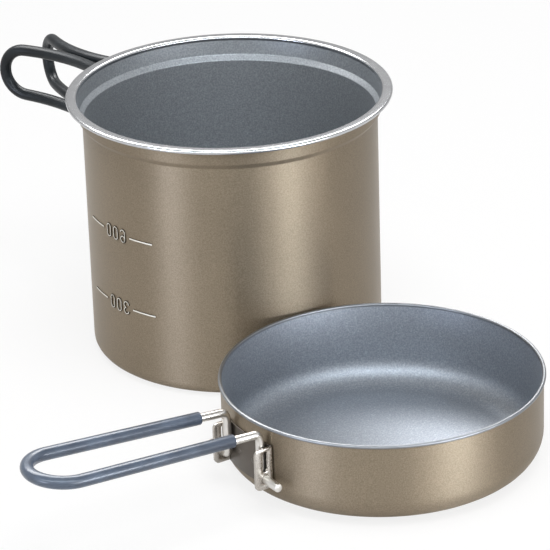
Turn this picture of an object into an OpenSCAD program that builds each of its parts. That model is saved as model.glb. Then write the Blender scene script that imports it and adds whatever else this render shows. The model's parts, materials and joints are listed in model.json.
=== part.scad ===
// Titanium cooking pot set: a lipped pot with two folding wire handles and, beside it,
// a shallow frying pan with one folding wire handle. The pot stands on the origin,
// +Z is up, +X runs to the right and +Y away from the cook.

/* [Pot] */
// Outer radius of the pot's body
pot_r = 57; // [50:0.5:66]
// Height of the pot, from its base to the top of its rim
pot_h = 103.5; // [99:0.5:125]
// Thickness of the pot's sheet
pot_wall = 0.5; // [0.4:0.05:0.9]
// Outer radius of the rounded corner at the pot's base
pot_corner = 4.5; // [3:0.25:7]
// Height of the stepped lip, from the foot of its step to the top of the rim
lip_h = 9.5; // [8.5:0.1:10.5]
// Distance that the lip steps out from the body
lip_step = 1.6; // [1.2:0.1:2.2]
// Height of the sloping step at the foot of the lip
lip_slope_h = 2; // [1.5:0.1:2.6]
// Distance that the lip's band leans out from its foot to the rim
lip_flare = 0.7; // [0.3:0.1:1.2]
// Width of the flattened roll that makes the rim
rim_w = 4.2; // [3.4:0.1:4.8]
// Height of the flattened roll
rim_t = 1.7; // [1.5:0.05:2]

/* [Graduation marks] */
// Volume in millilitres at the lower mark; the upper mark is at twice this volume
mark_ml = 300; // [260:10:320]
// Direction of the middle of the marks around the pot, in degrees
mark_az = -141.5; // [-160:0.5:-125]
// Height that the marks stand out of the wall
mark_relief = 0.3; // [0.2:0.05:0.45]
// Width of the lines in the marks
mark_line = 0.75; // [0.5:0.05:0.9]
// Height of the numerals
digit_h = 6; // [5:0.25:7]
// Width of each numeral
digit_w = 3.3; // [2.8:0.1:3.6]
// Distance from one numeral to the next
digit_pitch = 4.3; // [4:0.1:5]
// Length of the dash on each side of the numerals
dash_len = 11; // [6:0.5:14]

/* [Pot handles] */
// Direction of the pot's handle bracket, in degrees
handle_az = 132; // [120:0.5:150]
// Depth of the middle of the handles below the top of the rim
handle_drop = 21.1; // [20.5:0.1:24.5]
// Diameter of the pot handles' wire
pot_wire_d = 3; // [2.6:0.1:3.2]
// Outer diameter of the tube on the pot handles
pot_sleeve_d = 4.7; // [4.4:0.05:4.9]
// Distance of the hinge axes in front of the pot's wall, on the bracket's centre line
hinge_out = 5; // [4.8:0.1:6]
// Distance between the two hinge axes
hinge_pitch = 17.6; // [16.2:0.1:20]
// Height between the two wires of a handle at its root
root_span = 23.4; // [22:0.1:24]
// Height between the two wires of a handle where its end bend starts
tip_span = 19.4; // [17:0.1:21]
// Angle by which each handle's root leans towards the other handle
toe_in = 17.9; // [15:0.1:19.6]
// Radius of the handles' bow, seen from above
bow_r = 75; // [66:0.5:90]
// Length of the bowed part of each handle
bow_len = 50; // [38:0.5:54]
// Length of the straight wire between the hinge bend and the bow
root_len = 3.2; // [2.4:0.1:5]
// Centre-line radius of the bends at the pot handles' hinges
pot_bend_r = 3; // [2.6:0.1:3.4]

/* [Pan] */
// Outer radius of the pan's wall
pan_r = 59; // [52:0.5:66]
// Height of the pan
pan_h = 32.6; // [32:0.2:40]
// Thickness of the pan's sheet
pan_wall = 0.5; // [0.4:0.05:0.9]
// Outer radius of the rounded corner at the pan's base
pan_corner = 10.5; // [6:0.25:11]
// Radius of the thin bead along the pan's rim
pan_bead_r = 0.7; // [0.6:0.05:0.9]
// Distance that the bead stands out from the pan's wall
pan_bead_out = 0.8; // [0.4:0.05:0.9]
// Direction of the pan from the pot, in degrees
pan_az = -63.4; // [-75:0.5:-50]
// Gap between the pan's rim and the pot's body
pan_gap = 1.5; // [1:0.1:12]

/* [Pan handle] */
// Direction of the pan's handle from the pan's centre, in degrees
grip_az = 213; // [203:0.5:225]
// Diameter of the pan handle's wire
pan_wire_d = 3.2; // [2.6:0.1:3.4]
// Outer diameter of the tube on the pan handle
pan_sleeve_d = 4.8; // [4.2:0.1:5.4]
// Distance between the two wires of the pan's handle at its legs
grip_pitch = 21.6; // [20:0.2:26]
// Distance between the two wires where the grip's end bend starts
grip_tip_pitch = 24.8; // [17:0.2:27]
// Height of the pins above the bottom of the pan's bracket
pin_up = 4.2; // [4:0.1:4.6]
// Height from the pins to the two grip wires
leg_h = 17.1; // [16:0.1:18]
// Length of the grip wires, from the legs to the start of the end bend
grip_len = 71; // [60:0.5:95]
// Upward slope of the grip, in degrees
grip_slope = 4.4; // [2:0.1:6]
// Centre-line radius of the bends between the legs and the grip
pan_bend_r = 3; // [2.8:0.1:4]
// Length of each pin, from the middle of its leg to its end
pin_len = 11.5; // [10:0.5:16]
// Centre-line radius of the bends between the legs and the pins
pin_bend_r = 2.1; // [1.9:0.1:2.6]
// Distance from the grip's bend to the start of its tube
sleeve_start = 8.5; // [3:0.5:10]

/* [Brackets] */
// Thickness of the bracket plates on the walls
plate_t = 0.8; // [0.6:0.05:1]
// Thickness of the pot bracket's tabs and of the pan bracket's flanges
tab_t = 1.1; // [0.8:0.05:1.3]
// Width of metal around the holes in the pot bracket's tabs
tab_pad = 1.7; // [1.4:0.1:2]
// Height of the pan's bracket
pan_bracket_h = 16.8; // [16.4:0.1:18]
// Distance that the bracket reaches down over the pan's rounded corner
pan_bracket_drop = 1.5; // [0:0.1:2]
// Distance that the pan bracket's flanges reach past the legs' centres
flange_reach = 4.2; // [3:0.1:5]
// Width of the slots in the pan bracket's flanges
slot_w = 2; // [1.6:0.1:2.4]
// Height of the slots
slot_h = 8; // [7:0.1:8.4]

/* [Fits] */
// Radial clearance of a wire in its hole
pin_clear = 0.08; // [0.05:0.01:0.1]
// Radial clearance between a wire and its tube
sleeve_clear = 0.05; // [0.04:0.01:0.1]
// Gap between pieces that pass each other
run_clear = 0.3; // [0.2:0.05:0.4]

/* [Hidden] */
$fn = 96;

titanium = [0.62, 0.57, 0.49];
steel = [0.86, 0.86, 0.87];
charcoal = [0.22, 0.24, 0.26];
blue_grey = [0.42, 0.47, 0.53];

// --- Pot -----------------------------------------------------------------
pot_in_r = pot_r - pot_wall;
lip_z = pot_h - lip_h;                          // foot of the step
band_z = lip_z + lip_slope_h;                   // foot of the band
band_r = pot_r + lip_step;                      // the band's outer radius at its foot
rim_z = pot_h - rim_t / 2;                      // middle of the rolled rim
rim_in_r = band_r + lip_flare + rim_t / 2 - pot_wall;
rim_out_r = rim_in_r + rim_w - rim_t;

// --- Marks ---------------------------------------------------------------
ml = 1000;                                      // cubic millimetres in a millilitre
floor_r = pot_corner - pot_wall;                // inner radius of the rounded corner
corner_loss = 2 * PI * floor_r * floor_r * (1 - PI / 4) * (pot_in_r - 0.2234 * floor_r);
function mark_z(volume) = pot_wall + (volume * ml + corner_loss) / (PI * pot_in_r * pot_in_r);
mark_embed = pot_wall / 2;                      // depth of the marks' roots in the wall
dash_gap = 1.6;                                 // clear wall between a dash and a numeral
number_w = 3 * digit_pitch;
dash_angle = dash_len / pot_r * 180 / PI;
dash_from = (number_w / 2 + dash_gap) / pot_r * 180 / PI;

// --- Wires -----------------------------------------------------------------
seam = 0.04;                                    // a bend is drawn this much thinner
seam_len = 0.1;                                 // a straight length runs on this far
plate_in = 0.8;                                 // the pot bracket's plate ends this far inside

// --- Pot handles ----------------------------------------------------------
handle_z = pot_h - handle_drop;                 // middle of the handles
pot_wire_r = pot_wire_d / 2;
pot_sleeve_r = pot_sleeve_d / 2;
hinge_r = pot_r + hinge_out;
hinge_s = hinge_pitch / 2;
bow_angle = bow_len / bow_r * 180 / PI;
// Slope at which the two wires of a handle draw together
draw_in = asin((root_span - tip_span) / 2 / (root_len + bow_r * sin(bow_angle)));
elbow_z = root_span / 2 - pot_bend_r * cos(draw_in);
tab_z = elbow_z - run_clear;                    // outer face of each tab
stub_tip = tab_z - tab_t - 1.2;                 // the wire ends just past its tab
root_x = pot_bend_r * (1 + sin(draw_in));
bow_start = [root_x + root_len * cos(draw_in), root_span / 2 - root_len * sin(draw_in)];
bow_end = [bow_start[0] + bow_r * sin(bow_angle) * cos(draw_in), bow_r * (1 - cos(bow_angle))];
tip_turn = atan2(sin(bow_angle), cos(bow_angle) * cos(draw_in));
tip_slope = asin(sin(draw_in) * cos(bow_angle));
tip_r = tip_span / 2 / cos(tip_slope);
pot_sleeve_start = 1;

// --- Pan -----------------------------------------------------------------
pan_bead_c = pan_r + pan_bead_out - pan_bead_r; // radius of the bead's centre line
pan_rim_r = pan_r + pan_bead_out;
pan_distance = pot_r + pan_gap + pan_rim_r;
pan_xy = [pan_distance * cos(pan_az), pan_distance * sin(pan_az), 0];

// --- Pan handle ------------------------------------------------------------
pan_wire_r = pan_wire_d / 2;
pan_sleeve_r = pan_sleeve_d / 2;
bracket_z = pan_corner - pan_bracket_drop;      // bottom of the pan's bracket
pin_z = bracket_z + pin_up;
leg_s = grip_pitch / 2;
leg_r = sqrt(pow(pan_r + plate_t + run_clear + pan_wire_r, 2) - pow(leg_s, 2));
flange_in = leg_s + pin_bend_r;                 // the pin's bend ends at the flange
grip_z = pin_z + leg_h;
pan_elbow_z = grip_z - pan_bend_r * cos(grip_slope);
grip_x = pan_bend_r * (1 - sin(grip_slope));
// The grip wires draw together or apart towards their end bend, in one sloping plane
squeeze = asin((grip_pitch - grip_tip_pitch) / 2 / (grip_x + grip_len * cos(grip_slope)));
squeeze_in = asin(sin(squeeze) * cos(grip_slope));
plane_slope = atan2(sin(grip_slope), cos(squeeze) * cos(grip_slope));
grip_end = [leg_r + (grip_x + grip_len * cos(grip_slope)) * cos(squeeze), 0,
            grip_z + grip_len * sin(grip_slope)];
grip_tip_r = grip_tip_pitch / 2 / cos(squeeze_in);
flange_out_r = leg_r + flange_reach;
flange_corner = 2;
flange_inset = 0.4;                             // the plate stands this far past the flanges
pin_hole_r = pan_wire_r + pin_clear;
slot_z = pin_z + pin_hole_r + 1.3 + slot_w / 2; // centre of the slot's round lower end
weld_r = 1.1;

// A bent round wire, lying in the XY plane and curving about the origin. It is drawn a hair
// thinner than the straight lengths, which run a hair past its ends to join it.
module bend(radius, wire_r, angle) {
    rotate_extrude(angle = angle) translate([radius, 0]) circle(wire_r - seam);
}

// The wall of a vessel: a flat floor, a rounded corner and an upright side up to side_z
module vessel_profile(radius, corner, wall, side_z) {
    difference() {
        union() {
            square([radius - corner, wall]);
            translate([radius - wall, corner]) square([wall, side_z - corner]);
            intersection() {
                translate([radius - corner, 0]) square(corner);
                translate([radius - corner, corner]) circle(corner);
            }
        }
        translate([radius - corner, corner]) circle(corner - wall);
    }
}

// The stepped lip with its flattened roll
module lip_profile() {
    polygon([
        [pot_in_r, lip_z], [pot_r, lip_z], [band_r, band_z],
        [band_r + lip_flare, rim_z], [band_r + lip_flare - pot_wall, rim_z],
        [band_r - pot_wall, band_z + pot_wall / 2], [pot_in_r, lip_z + pot_wall / 2]
    ]);
    for (r = [rim_in_r, rim_out_r]) translate([r, rim_z]) circle(rim_t / 2);
    translate([rim_in_r, rim_z - rim_t / 2]) square([rim_out_r - rim_in_r, rim_t]);
}

// A ring with straight sides, such as a nought
module oval_ring(w, h, line) {
    difference() {
        oval(w, h);
        oval(w - 2 * line, h - 2 * line);
    }
}
module oval(w, h) {
    for (y = [-1, 1]) translate([0, y * (h - w) / 2]) circle(w / 2);
    square([w, h - w], center = true);
}

module numeral_six() {
    loop_h = digit_h * 0.58;
    translate([0, (loop_h - digit_h) / 2]) oval_ring(digit_w, max(loop_h, digit_w), mark_line);
    difference() {
        oval_ring(digit_w, digit_h, mark_line);
        translate([0, -digit_h]) square([digit_w, digit_h + digit_h / 2 - digit_w / 2]);
    }
}

module numeral_three() {
    r = (digit_h + mark_line) / 4;
    difference() {
        for (y = [-1, 1]) translate([0, y * (digit_h / 2 - r)]) difference() {
            circle(r);
            circle(r - mark_line);
        }
        translate([-digit_w, r - digit_h / 2]) square([digit_w, digit_h - 2 * r]);
    }
}

// One mark: dash, numeral, two noughts, dash, pressed to be read from inside the pot
module volume_mark(volume, leading) {
    translate([0, 0, mark_z(volume)]) rotate([0, 0, mark_az]) {
        for (side = [0, 1]) mirror([0, side, 0]) rotate([0, 0, dash_from])
            rotate_extrude(angle = dash_angle)
                translate([pot_r - mark_embed, -mark_line / 2])
                    square([mark_embed + mark_relief, mark_line]);
        for (place = [-1, 0, 1]) rotate([0, 0, -place * digit_pitch / pot_r * 180 / PI])
            translate([pot_r - mark_embed, 0, 0]) rotate([90, 0, 90])
                linear_extrude(mark_embed + mark_relief) mirror([1, 0, 0])
                    if (place > -1) oval_ring(digit_w, digit_h, mark_line);
                    else if (leading == 6) numeral_six();
                    else numeral_three();
    }
}

module pot_shell() {
    color(titanium) {
        rotate_extrude() {
            vessel_profile(pot_r, pot_corner, pot_wall, lip_z);
            lip_profile();
        }
        volume_mark(mark_ml, 3);
        volume_mark(2 * mark_ml, 6);
    }
}

// The tab's outline in the bracket's own plane: X leads out from the pot, Y along its wall
module tab_outline() {
    pad_r = pot_wire_r + pin_clear + tab_pad;
    difference() {
        union() {
            translate([pot_r - 2, -hinge_s - pad_r]) square([hinge_out + 2, 2 * (hinge_s + pad_r)]);
            translate([pot_r - 2, -hinge_s]) square([hinge_out + 2 + pad_r, hinge_pitch]);
            for (side = [-1, 1]) translate([hinge_r, side * hinge_s]) circle(pad_r);
        }
        circle(pot_r + plate_t / 2);
        for (side = [-1, 1]) translate([hinge_r, side * hinge_s]) circle(pot_wire_r + pin_clear);
    }
}

module pot_handle_bracket() {
    half_angle = asin((hinge_s + pot_wire_r + pin_clear + tab_pad - plate_in) / pot_r);
    color(steel) translate([0, 0, handle_z]) rotate([0, 0, handle_az]) {
        rotate([0, 0, -half_angle]) rotate_extrude(angle = 2 * half_angle)
            translate([pot_r, -tab_z]) square([plate_t, 2 * tab_z]);
        for (side = [0, 1]) mirror([0, 0, side]) translate([0, 0, tab_z - tab_t])
            linear_extrude(tab_t) tab_outline();
    }
}

// The upper half of a pot handle's wire or tube, about its hinge axis
module pot_loop_half(r, start) {
    translate([root_x, 0, root_span / 2]) rotate([0, 90 + draw_in, 0])
        translate([0, 0, start]) cylinder(r = r, h = root_len - start + seam_len);
    translate([bow_start[0], 0, bow_start[1]]) rotate([0, draw_in, 0])
        translate([0, bow_r, 0]) rotate([0, 0, -90]) bend(bow_r, r, bow_angle);
}

module pot_loop(r, start) {
    for (side = [0, 1]) mirror([0, 0, side]) pot_loop_half(r, start);
    back = tip_span / 2 * tan(tip_slope);
    translate([bow_end[0] - back * cos(tip_turn), bow_end[1] - back * sin(tip_turn), 0])
        rotate([0, 0, tip_turn]) rotate([90, 0, 0]) {
            rotate([0, 0, tip_slope - 90]) bend(tip_r, r, 180 - 2 * tip_slope);
            for (side = [0, 1]) mirror([0, side, 0]) rotate([0, 0, 90 - tip_slope])
                translate([tip_r, 0, 0]) rotate([90, 0, 0])
                    cylinder(r = r, h = 2 * seam_len, center = true);
        }
}

module pot_handle_wire() {
    pot_loop(pot_wire_r, -seam_len);
    for (side = [0, 1]) mirror([0, 0, side]) {
        translate([0, 0, stub_tip]) cylinder(r = pot_wire_r, h = elbow_z - stub_tip + seam_len);
        translate([pot_bend_r, 0, elbow_z]) rotate([90, 0, 0])
            rotate([0, 0, 90 - draw_in]) bend(pot_bend_r, pot_wire_r, 90 + draw_in);
    }
}

module pot_handle_sleeve() {
    difference() {
        pot_loop(pot_sleeve_r, pot_sleeve_start);
        pot_loop(pot_wire_r + sleeve_clear, -seam_len);
    }
}

// Sets a handle on its hinge: side 0 for the front one, side 1 for the rear one
module at_hinge(side) {
    translate([0, 0, handle_z]) rotate([0, 0, handle_az]) mirror([0, side, 0])
        translate([hinge_r, hinge_s, 0]) rotate([0, 0, -toe_in]) children();
}

module front_handle_wire() { color(steel) at_hinge(0) pot_handle_wire(); }
module front_handle_sleeve() { color(charcoal) at_hinge(0) pot_handle_sleeve(); }
module rear_handle_wire() { color(steel) at_hinge(1) pot_handle_wire(); }
module rear_handle_sleeve() { color(charcoal) at_hinge(1) pot_handle_sleeve(); }

module pan_shell() {
    color(titanium) translate(pan_xy) rotate_extrude() {
        vessel_profile(pan_r, pan_corner, pan_wall, pan_h - pan_bead_r);
        translate([pan_bead_c, pan_h - pan_bead_r]) circle(pan_bead_r);
    }
}

// Puts its children in the pan handle's frame: X out along the grip, Y along the pan's wall
module at_grip() {
    translate(pan_xy) rotate([0, 0, grip_az]) children();
}

// A flange seen from its side: X out from the pan's centre, Y up
module flange_outline() {
    root = pan_r - 4;
    bottom = bracket_z + flange_inset;
    top = bracket_z + pan_bracket_h - flange_inset;
    difference() {
        union() {
            translate([root, bottom]) square([flange_out_r - flange_corner - root, top - bottom]);
            translate([root, bottom + flange_corner])
                square([flange_out_r - root, top - bottom - 2 * flange_corner]);
            for (z = [bottom + flange_corner, top - flange_corner])
                translate([flange_out_r - flange_corner, z]) circle(flange_corner);
        }
        translate([leg_r, pin_z]) circle(pin_hole_r);
        translate([leg_r, slot_z]) circle(slot_w / 2);
        translate([leg_r, slot_z + slot_h - slot_w]) circle(slot_w / 2);
        translate([leg_r - slot_w / 2, slot_z]) square([slot_w, slot_h - slot_w]);
    }
}

module pan_handle_bracket() {
    half_angle = asin((flange_in + tab_t / 2) / pan_r);
    color(steel) at_grip() {
        rotate([0, 0, -half_angle]) rotate_extrude(angle = 2 * half_angle)
            translate([pan_r, bracket_z]) square([plate_t, pan_bracket_h]);
        difference() {
            for (side = [0, 1]) mirror([0, side, 0]) translate([0, flange_in + tab_t, 0])
                rotate([90, 0, 0]) linear_extrude(tab_t) flange_outline();
            cylinder(r = pan_r + plate_t / 2, h = pan_h);
        }
        // Domes of the spot welds between the legs
        for (side = [-1, 1]) rotate([0, 0, side * 4.2])
            translate([pan_r + plate_t - 0.05, 0, bracket_z + pan_bracket_h * 0.45])
                rotate([0, 90, 0]) cylinder(r1 = weld_r, r2 = weld_r * 0.7, h = 0.25);
    }
}

// The grip: two straight wires or tubes, from start on, and the round end that joins them
module grip_loop(r, start) {
    for (side = [0, 1]) mirror([0, side, 0]) translate([leg_r, leg_s, grip_z])
        rotate([0, 0, -squeeze]) translate([grip_x, 0, 0]) rotate([0, 90 - grip_slope, 0])
            translate([0, 0, start]) cylinder(r = r, h = grip_len - start + seam_len);
    translate(grip_end) rotate([0, -plane_slope, 0])
        translate([-grip_tip_pitch / 2 * tan(squeeze_in), 0, 0])
            rotate([0, 0, squeeze_in - 90]) bend(grip_tip_r, r, 180 - 2 * squeeze_in);
}

module pan_handle_wire() {
    chamfer = 0.4;
    color(steel) at_grip() {
        grip_loop(pan_wire_r, -seam_len);
        for (side = [0, 1]) mirror([0, side, 0]) {
            translate([leg_r, leg_s, pan_elbow_z]) rotate([0, 0, -squeeze])
                translate([pan_bend_r, 0, 0]) rotate([90, 0, 0])
                    rotate([0, 0, 90 + grip_slope]) bend(pan_bend_r, pan_wire_r, 90 - grip_slope);
            translate([leg_r, leg_s, pin_z + pin_bend_r - seam_len])
                cylinder(r = pan_wire_r, h = pan_elbow_z - pin_z - pin_bend_r + 2 * seam_len);
            translate([leg_r, leg_s + pin_bend_r, pin_z + pin_bend_r]) rotate([90, 0, 90])
                rotate([0, 0, 180]) bend(pin_bend_r, pan_wire_r, 90);
            translate([leg_r, leg_s + pin_bend_r - seam_len, pin_z]) rotate([-90, 0, 0])
                cylinder(r = pan_wire_r, h = pin_len - pin_bend_r - chamfer + seam_len);
            translate([leg_r, leg_s + pin_len - chamfer, pin_z]) rotate([-90, 0, 0])
                cylinder(r1 = pan_wire_r, r2 = pan_wire_r - chamfer, h = chamfer);
        }
    }
}

module pan_handle_sleeve() {
    color(blue_grey) at_grip() difference() {
        grip_loop(pan_sleeve_r, sleeve_start);
        grip_loop(pan_wire_r + sleeve_clear, -seam_len);
    }
}

pot_shell();
pot_handle_bracket();
front_handle_wire();
front_handle_sleeve();
rear_handle_wire();
rear_handle_sleeve();
pan_shell();
pan_handle_bracket();
pan_handle_wire();
pan_handle_sleeve();
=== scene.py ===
# %% [markdown]
# # A titanium cooking set
# The set is a tall pot with two folding wire handles and a shallow pan with one.
# Every solid of it is already measured, and this lesson dresses those solids. We load
# them first, and keep the box that they fill, because the dressed set has to fill the
# same box.

# %% Load the measured set
import json
import math

import bmesh
import bpy
from mathutils import Matrix, Vector


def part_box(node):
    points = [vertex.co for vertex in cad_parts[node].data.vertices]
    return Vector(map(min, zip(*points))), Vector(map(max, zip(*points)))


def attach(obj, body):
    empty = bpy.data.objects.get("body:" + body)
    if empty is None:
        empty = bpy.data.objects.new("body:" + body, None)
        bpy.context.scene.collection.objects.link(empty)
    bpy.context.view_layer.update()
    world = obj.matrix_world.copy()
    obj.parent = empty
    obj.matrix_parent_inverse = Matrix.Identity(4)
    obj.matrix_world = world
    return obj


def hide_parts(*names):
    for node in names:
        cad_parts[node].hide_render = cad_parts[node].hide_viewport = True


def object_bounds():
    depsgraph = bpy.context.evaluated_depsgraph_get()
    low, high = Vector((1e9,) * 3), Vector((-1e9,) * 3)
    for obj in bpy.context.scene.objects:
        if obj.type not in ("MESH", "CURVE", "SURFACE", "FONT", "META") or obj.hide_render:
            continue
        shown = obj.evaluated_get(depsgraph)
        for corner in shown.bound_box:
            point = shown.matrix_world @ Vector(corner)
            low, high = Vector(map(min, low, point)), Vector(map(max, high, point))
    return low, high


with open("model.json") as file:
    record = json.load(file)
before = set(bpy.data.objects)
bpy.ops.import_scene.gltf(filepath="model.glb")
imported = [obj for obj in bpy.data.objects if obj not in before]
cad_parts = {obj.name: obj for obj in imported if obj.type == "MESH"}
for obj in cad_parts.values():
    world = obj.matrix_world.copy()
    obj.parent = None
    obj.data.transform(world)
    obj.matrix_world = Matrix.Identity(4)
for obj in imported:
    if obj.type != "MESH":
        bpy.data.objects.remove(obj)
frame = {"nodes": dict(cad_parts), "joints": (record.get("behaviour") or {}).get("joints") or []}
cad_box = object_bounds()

MM = 0.001
joints = {joint["name"]: joint for joint in frame["joints"]}
print("nodes:", ", ".join(sorted(frame["nodes"])))
print("box in mm:", [round(value / MM, 1) for corner in cad_box for value in corner])

# %% [markdown]
# Where things stand comes from the measured solids. The pot stands on the origin. The
# pan's middle is the middle of its shell's box, and each handle turns at its joint.

# %% Find the places that the pieces are built from
def middle(node):
    low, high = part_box(node)
    return (low + high) / 2


def hinge_point(joint):
    return Vector(joints[joint]["pos_m"])


pot_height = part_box("pot_shell")[1].z
pan_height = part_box("pan_shell")[1].z
pan_middle = Vector((middle("pan_shell").x, middle("pan_shell").y, 0))
print("pot height", round(pot_height / MM, 1), "pan height", round(pan_height / MM, 1))
print("pan middle", [round(value / MM, 1) for value in pan_middle])

# %% [markdown]
# ## Camera
# The set is seen from a cook's standing height, a little above the rims, through a long
# lens, so that the two vessels keep their true proportions. The camera looks along +Y,
# tips down, and leans over by a hair. In ZYX order the lean is made first, about the
# line of sight.

# %% Place the camera
CAMERA_PLACE = Vector((15.28, -1192.43, 563.97)) * MM
CAMERA_TIP = 24.34      # degrees below the horizon
CAMERA_LEAN = -1.92     # degrees about the line of sight
SENSOR_WIDTH, LENS = 36, 217.18     # millimetres
camera_data = bpy.data.cameras.new("camera")
camera_data.sensor_width = SENSOR_WIDTH
camera_data.lens = LENS
camera = bpy.data.objects.new("camera", camera_data)
bpy.context.scene.collection.objects.link(camera)
camera.location = CAMERA_PLACE
camera.rotation_mode = "ZYX"
camera.rotation_euler = (math.radians(90 - CAMERA_TIP), 0, math.radians(CAMERA_LEAN))
bpy.context.scene.camera = camera
bpy.context.scene.view_settings.view_transform = "Standard"
print("camera at", [round(value, 3) for value in camera.location])

# %% [markdown]
# ## Shader maths
# A material here is a sum and product of a few textures. A small class wraps a socket,
# so that `1 - mask` or `grain * 0.2 + 0.4` adds the Math nodes by itself. All other
# nodes come from one method that takes the node's type, its settings and its inputs.

# %% A socket that can be used in sums
class Signal:
    def __init__(self, tree, socket):
        self.tree = tree
        self.socket = socket

    def combine(self, operation, first, second):
        node = self.tree.nodes.new("ShaderNodeMath")
        node.operation = operation
        plug(self.tree, node.inputs[0], first)
        plug(self.tree, node.inputs[1], second)
        return Signal(self.tree, node.outputs[0])

    def __add__(self, other):
        return self.combine("ADD", self, other)

    def __sub__(self, other):
        return self.combine("SUBTRACT", self, other)

    def __rsub__(self, other):
        return self.combine("SUBTRACT", other, self)

    def __mul__(self, other):
        return self.combine("MULTIPLY", self, other)

    __radd__ = __add__
    __rmul__ = __mul__

    def larger(self, other):
        return self.combine("MAXIMUM", self, other)


def plug(tree, socket, value):
    if isinstance(value, Signal):
        tree.links.new(value.socket, socket)
    else:
        socket.default_value = value


def add_node(tree, kind, settings=None, inputs=None, output=0):
    node = tree.nodes.new("ShaderNode" + kind)
    for key, value in (settings or {}).items():
        setattr(node, key, value)
    for key, value in (inputs or {}).items():
        plug(tree, node.inputs[key], value)
    return Signal(tree, node.outputs[output])


print("shader maths ready")

# %% A finish: one material and its textures
class Finish:
    def __init__(self, name, **constants):
        self.material = bpy.data.materials.new(name)
        self.material.use_nodes = True
        self.tree = self.material.node_tree
        self.shader = self.tree.nodes["Principled BSDF"]
        self.place = add_node(self.tree, "TexCoord", output="Object")
        self.set(**constants)

    def set(self, **inputs):
        for key, value in inputs.items():
            plug(self.tree, self.shader.inputs[key.replace("_", " ")], value)

    def noise(self, size, detail):
        """Noise whose lumps are about size across, in metres."""
        inputs = {"Vector": self.place, "Scale": 1 / size, "Detail": detail, "Roughness": 0.6}
        return add_node(self.tree, "TexNoise", {}, inputs)

    def steepen(self, value, low, high):
        """Takes low..high of a value to 0..1 and clips the rest."""
        settings = {"interpolation_type": "SMOOTHSTEP"}
        inputs = {"Value": value, "From Min": low, "From Max": high}
        return add_node(self.tree, "MapRange", settings, inputs)

    def blend(self, factor, first, second, blend_type="MIX"):
        """Mixes two colours, whose sockets on a Mix node are 6 and 7, with the result on 2."""
        settings = {"data_type": "RGBA", "blend_type": blend_type}
        return add_node(self.tree, "Mix", settings, {0: factor, 6: first, 7: second}, output=2)

    def bump(self, height, depth):
        inputs = {"Height": height, "Distance": depth, "Strength": 1.0}
        return add_node(self.tree, "Bump", {}, inputs)


def shade(red, green, blue):
    """A colour given as it looks on a screen, 0 to 255, as linear light."""
    def linear(value):
        value /= 255
        return value / 12.92 if value <= 0.04045 else ((value + 0.055) / 1.055) ** 2.4
    return (linear(red), linear(green), linear(blue), 1)


print("mid grey is", round(shade(128, 128, 128)[0], 3))

# %% [markdown]
# ## Blasted titanium
# The outside of both vessels is bare titanium, blasted with fine beads: a warm grey
# metal with a grain of about half a millimetre and a soft sheen. The grain goes into the
# colour, the roughness and a very shallow bump. Wide, faint clouds keep the large wall
# from looking printed. The sheet was turned before it was blasted, so its sheen is drawn
# out up and down the wall, which the anisotropy gives.

# %% Make the titanium
BLAST_GRAIN, BLAST_CLOUD, GRAIN_DEPTH = 0.45 * MM, 28 * MM, 0.02 * MM
CLOUD_DARK, CLOUD_LIGHT = (0.93, 0.93, 0.93, 1), (1.04, 1.04, 1.03, 1)


def blasted_titanium(name, dark, light):
    finish = Finish(name, Metallic=0.9, Anisotropic=0.8, Anisotropic_Rotation=0.25)
    grain = finish.noise(BLAST_GRAIN, 3)
    clouds = finish.noise(BLAST_CLOUD, 2)
    speck = finish.steepen(grain, 0.3, 0.7)
    tone = finish.blend(speck, dark, light)
    dull = finish.blend(clouds, CLOUD_DARK, CLOUD_LIGHT)
    colour = finish.blend(1.0, tone, dull, "MULTIPLY")
    finish.set(Base_Color=colour, Roughness=speck * 0.08 + 0.4)
    finish.set(Normal=finish.bump(grain, GRAIN_DEPTH))
    return finish.material


titanium = blasted_titanium("blasted_titanium", shade(124, 112, 95), shade(145, 132, 114))
print("made", titanium.name)

# %% [markdown]
# ## Inside coatings
# The insides are cooler than the outside: the pot wears a grey coat and the pan a
# blue-grey one, both with fine light specks. Each is a thin coat on metal, so the shader
# is partly metallic, and a little rougher than the outside.

# %% Make the two coatings
COAT_GRAIN, FLECK_SIZE, COAT_SPREAD = 0.6 * MM, 0.9 * MM, 0.14


def speckled_coat(name, dark, light, fleck, metallic, roughness):
    finish = Finish(name, Metallic=metallic)
    grain = finish.noise(COAT_GRAIN, 3)
    flecks = finish.steepen(finish.noise(FLECK_SIZE, 1), 0.62, 0.72)
    ground = finish.blend(finish.steepen(grain, 0.35, 0.65), dark, light)
    finish.set(Base_Color=finish.blend(flecks * 0.4, ground, fleck))
    finish.set(Roughness=grain * COAT_SPREAD + (roughness - COAT_SPREAD / 2))
    finish.set(Normal=finish.bump(grain, GRAIN_DEPTH))
    return finish.material


pot_coat = speckled_coat("pot_lining", shade(140, 144, 148), shade(163, 168, 173),
                         shade(188, 194, 200), 0.6, 0.45)
pan_coat = speckled_coat("pan_lining", shade(140, 145, 152), shade(162, 167, 174),
                         shade(188, 194, 203), 0.8, 0.48)
print("made", pot_coat.name, "and", pan_coat.name)

# %% [markdown]
# ## Bright metal
# The rolled rims are polished by the rolling, and the wires and brackets are stainless
# steel. They share one recipe, with faint wear in the roughness. The brackets are darker
# and a little warmer than the wires, and their plates carry a darker painted shade. The
# volume marks have a painted highlight on the crest, and painted shade at the foot.

# %% Make the bright metals
WEAR_SIZE, WEAR_SPREAD, WEAR_DEPTH, STAIN_SIZE = 0.8 * MM, 0.1, 0.0015 * MM, 6 * MM


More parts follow.
